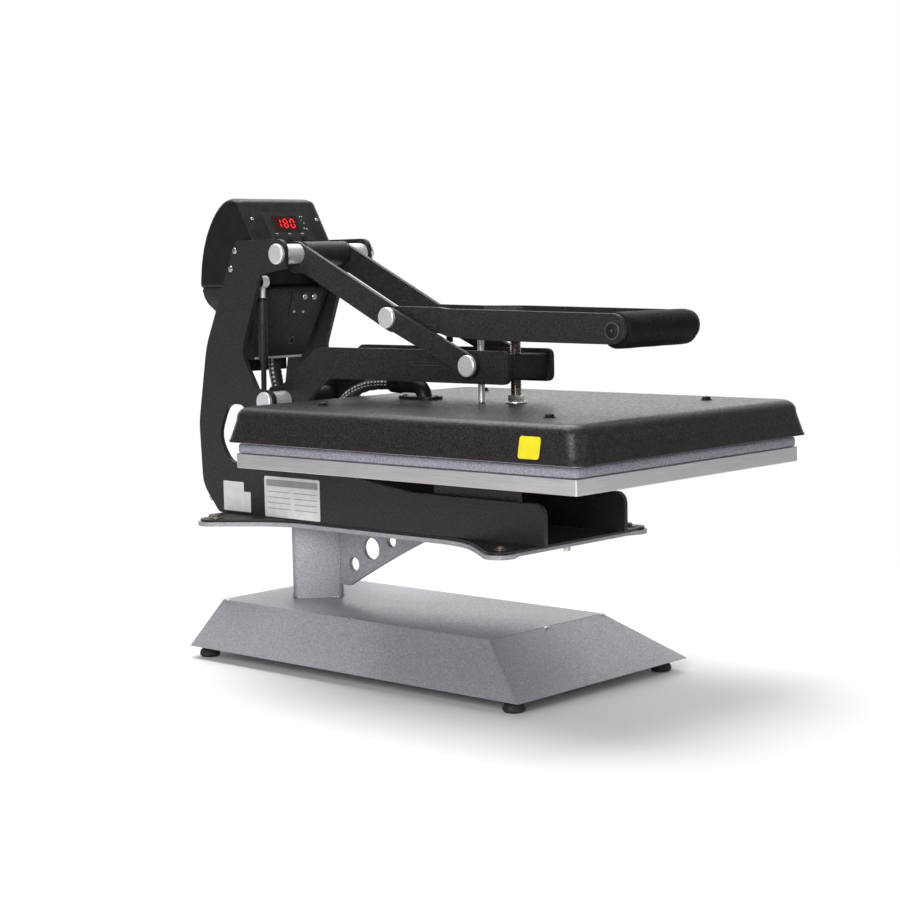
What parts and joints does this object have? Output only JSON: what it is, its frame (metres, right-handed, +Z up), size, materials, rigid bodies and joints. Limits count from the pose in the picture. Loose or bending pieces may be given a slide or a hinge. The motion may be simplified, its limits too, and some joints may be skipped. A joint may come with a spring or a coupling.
{
  "type": "heat press",
  "caption": "Clamshell heat press with a rectangular heated platen, over-centre toggle handle, digital controller and pedestal stand.",
  "frame": {"origin": "on the floor under the middle of the machine: bottom centre of the bounding box", "axes": "+Z up, -Y towards the operator and the handle, +X to the operator's right"},
  "size_m": [0.4264, 0.7374, 0.5711],
  "materials": {
    "silver_paint": "silver hammertone paint",
    "black_powder_coat": "fine textured black powder coat",
    "cover_paint": "semi-gloss black paint",
    "chrome": "bright plated steel",
    "aluminium": "machined, satin",
    "silicone": "matt grey silicone foam",
    "rubber": "matt black",
    "cable_sleeve": "black braided sleeve with light tracer",
    "plastic": "satin black moulding",
    "brass_plated_steel": "yellow-zinc plated thread",
    "display": "dark red window"
  },
  "bodies": {
    "frame": {"stand_base_shell": "silver_paint", "stand_post": "silver_paint", "stand_gusset": "silver_paint", "stand_top_plate": "silver_paint", "frame_base_plate": "black_powder_coat", "mount_bolt_front_left": "chrome", "mount_bolt_front_right": "chrome", "mount_bolt_rear_left": "chrome", "mount_bolt_rear_right": "chrome", "stand_foot_front_left": "rubber", "stand_foot_front_right": "rubber", "stand_foot_rear_left": "rubber", "stand_foot_rear_right": "rubber", "frame_side_left": "black_powder_coat", "frame_side_right": "black_powder_coat", "platen_mount": "black_powder_coat", "platen_hub": "aluminium", "upper_pivot_pin": "chrome", "lower_pivot_pin": "chrome", "upper_pivot_sleeve_left": "chrome", "upper_pivot_sleeve_right": "chrome", "lower_pivot_sleeve_left": "chrome", "lower_pivot_sleeve_right": "chrome", "lower_platen": "aluminium", "silicone_pad": "silicone", "controller_housing": "plastic", "controller_rear_cover": "plastic", "controller_lower_box": "black_powder_coat", "display_window": "display", "power_inlet": "plastic", "heater_cable": "cable_sleeve"},
    "arm": {"arm_side_left": "black_powder_coat", "arm_side_right": "black_powder_coat", "arm_front_block": "black_powder_coat", "arm_guide_plate": "black_powder_coat", "arm_tube": "black_powder_coat", "link_pin": "chrome"},
    "heat_head": {"heat_platen": "aluminium", "platen_cover": "cover_paint", "cable_elbow": "plastic", "guide_rod": "chrome"},
    "pressure_screw": {"pressure_spindle": "brass_plated_steel", "pressure_knob": "plastic"},
    "lever": {"lever_side_left": "black_powder_coat", "lever_side_right": "black_powder_coat", "lever_tube": "black_powder_coat", "lever_web": "black_powder_coat", "knee_shaft": "chrome", "handle_rod": "black_powder_coat", "handle_grip": "rubber"},
    "toggle_links": {"toggle_link_left": "black_powder_coat", "toggle_link_right": "black_powder_coat", "knee_bolt_left": "chrome", "knee_bolt_right": "chrome"},
    "spring_rod": {"gas_spring_rod": "chrome"},
    "spring_cylinder": {"gas_spring_cylinder": "black_powder_coat"},
    "down_button": {"button_down": "plastic"},
    "up_button": {"button_up": "plastic"},
    "set_button": {"button_set": "plastic"},
    "rocker_switch": {"power_switch": "rubber"}
  },
  "joints": [
    {"name": "arm_hinge", "type": "hinge", "parent": "frame", "child": "arm", "pos_m": [0, 0.2359, 0.3171], "axis": [-1, 0, 0], "range_deg": [0, 45], "deforming": ["heater_cable"]},
    {"name": "lever_hinge", "type": "hinge", "parent": "frame", "child": "lever", "pos_m": [0, 0.2064, 0.4998], "axis": [-1, 0, 0], "range_deg": [0, 97.8]},
    {"name": "link_hinge", "type": "hinge", "parent": "arm", "child": "toggle_links", "pos_m": [0, -0.0784, 0.3674], "axis": [1, 0, 0], "range_deg": [0, 64.2]},
    {"name": "spring_rod_hinge", "type": "hinge", "parent": "frame", "child": "spring_rod", "pos_m": [-0.056, 0.2573, 0.466], "axis": [-1, 0, 0], "range_deg": [0, 1.54]},
    {"name": "spring_stroke", "type": "slide", "parent": "spring_rod", "child": "spring_cylinder", "axis": [0, 0.0187, -0.9998], "range_m": [0, 0.01827]},
    {"name": "head_height", "type": "slide", "parent": "arm", "child": "heat_head", "axis": [0, 0, 1], "range_m": [0, 0.009]},
    {"name": "pressure_turn", "type": "hinge", "parent": "heat_head", "child": "pressure_screw", "pos_m": [0, -0.1087, 0.38], "axis": [0, 0, 1], "range_deg": [0, 1080]},
    {"name": "down_button_press", "type": "slide", "parent": "frame", "child": "down_button", "axis": [0, 0.8678, -0.4969], "range_m": [0, 0.0012], "stiffness_N_per_m": 400},
    {"name": "up_button_press", "type": "slide", "parent": "frame", "child": "up_button", "axis": [0, 0.8678, -0.4969], "range_m": [0, 0.0012], "stiffness_N_per_m": 400},
    {"name": "set_button_press", "type": "slide", "parent": "frame", "child": "set_button", "axis": [0, 0.8678, -0.4969], "range_m": [0, 0.0012], "stiffness_N_per_m": 400},
    {"name": "power_rocker", "type": "hinge", "parent": "frame", "child": "rocker_switch", "pos_m": [0.02, 0.3313, 0.382], "axis": [1, 0, 0], "range_deg": [0, 12]}
  ],
  "couplings": [
    {"joint": "lever_hinge", "follows": "arm_hinge", "ratio": 2.1727},
    {"joint": "link_hinge", "follows": "arm_hinge", "ratio": 1.4246},
    {"joint": "spring_rod_hinge", "follows": "arm_hinge", "ratio": 0.034342},
    {"joint": "spring_stroke", "follows": "arm_hinge", "m_per_rad": 0.023258},
    {"joint": "pressure_turn", "follows": "head_height", "rad_per_m": 2094.4}
  ]
}
